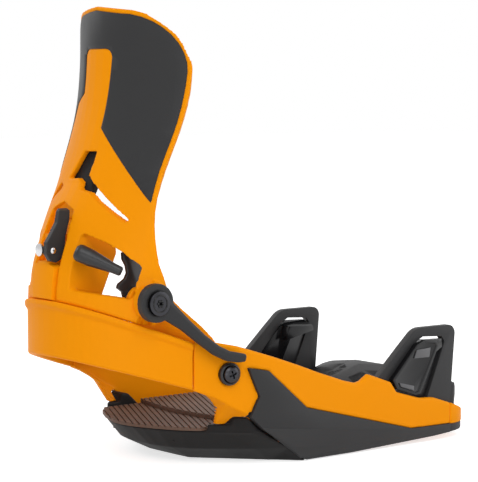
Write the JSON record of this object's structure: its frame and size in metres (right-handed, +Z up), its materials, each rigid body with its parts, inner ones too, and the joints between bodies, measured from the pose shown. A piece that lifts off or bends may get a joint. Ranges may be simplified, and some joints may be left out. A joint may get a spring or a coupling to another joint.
{
  "type": "step-in snowboard binding",
  "caption": "Right-foot strapless snowboard binding: highback with heel latch and release lever, heelcup, rails with toe hooks, and a slotted mounting disc.",
  "frame": {"origin": "centre of the mounting disc on the board plane", "axes": "+X to the toe, +Y to the inner (medial) side of the foot, +Z up from the board"},
  "size_m": [0.2764, 0.1472, 0.262],
  "materials": {
    "orange_nylon": "satin moulded glass-filled nylon",
    "grey_nylon": "fine-grained dark grey nylon",
    "black_nylon": "fine-grained black nylon",
    "foam": "moulded black EVA foam",
    "steel": "plated steel",
    "black_steel": "black oxide steel"
  },
  "bodies": {
    "base": {"baseplate": "orange_nylon", "base_cushion": "foam", "side_panel_lateral": "grey_nylon", "side_panel_medial": "grey_nylon", "toe_bumper": "orange_nylon", "toe_skid": "grey_nylon", "toe_ramp": "grey_nylon", "heel_footbed": "foam", "mid_footbed": "foam", "disc": "black_nylon", "heelcup": "orange_nylon", "heelcup_screws": "black_steel", "heelcup_washers": "black_steel", "heelcup_nuts": "steel", "toe_hook_lateral": "grey_nylon", "toe_hook_medial": "grey_nylon", "toe_catch_lateral": "black_nylon", "toe_catch_medial": "black_nylon", "toe_hook_screws": "steel", "hinge_sleeves": "steel", "hinge_bolts": "black_steel"},
    "release_lever": {"release_lever": "grey_nylon"},
    "highback": {"highback": "orange_nylon", "highback_skin": "grey_nylon", "highback_pad": "foam"},
    "lever_crank": {"lever_crank": "grey_nylon"},
    "heel_latch": {"latch_pawl": "steel", "rocker_arm": "black_nylon"},
    "lean_block": {"lean_block": "orange_nylon", "lean_screw": "steel", "lean_pin": "steel"},
    "lean_lever": {"lean_lever": "grey_nylon"}
  },
  "joints": [
    {"name": "highback_fold", "type": "hinge", "parent": "base", "child": "highback", "pos_m": [-0.114, 0, 0.098], "axis": [0, 1, 0], "range_deg": [0, 65]},
    {"name": "release_lever_pull", "type": "hinge", "parent": "base", "child": "release_lever", "pos_m": [-0.114, -0.059, 0.098], "axis": [0, -1, 0], "range_deg": [0, 36], "stiffness_Nm_per_rad": 0.12, "springref_deg": -17.19},
    {"name": "crank_turn", "type": "hinge", "parent": "highback", "child": "lever_crank", "pos_m": [-0.114, -0.04, 0.098], "axis": [0, -1, 0], "range_deg": [0, 11.5]},
    {"name": "latch_turn", "type": "hinge", "parent": "highback", "child": "heel_latch", "pos_m": [-0.1305, 0, 0.12], "axis": [0, 1, 0], "range_deg": [0, 27]},
    {"name": "lean_block_slide", "type": "slide", "parent": "highback", "child": "lean_block", "axis": [0, 0, 1], "range_m": [0, 0.006]},
    {"name": "lean_lever_flip", "type": "hinge", "parent": "lean_block", "child": "lean_lever", "pos_m": [-0.148, 0, 0.1255], "axis": [0, -1, 0], "range_deg": [0, 80]}
  ],
  "couplings": [
    {"joint": "crank_turn", "follows": "release_lever_pull", "ratio": 0.3},
    {"joint": "latch_turn", "follows": "release_lever_pull", "ratio": 0.74}
  ]
}
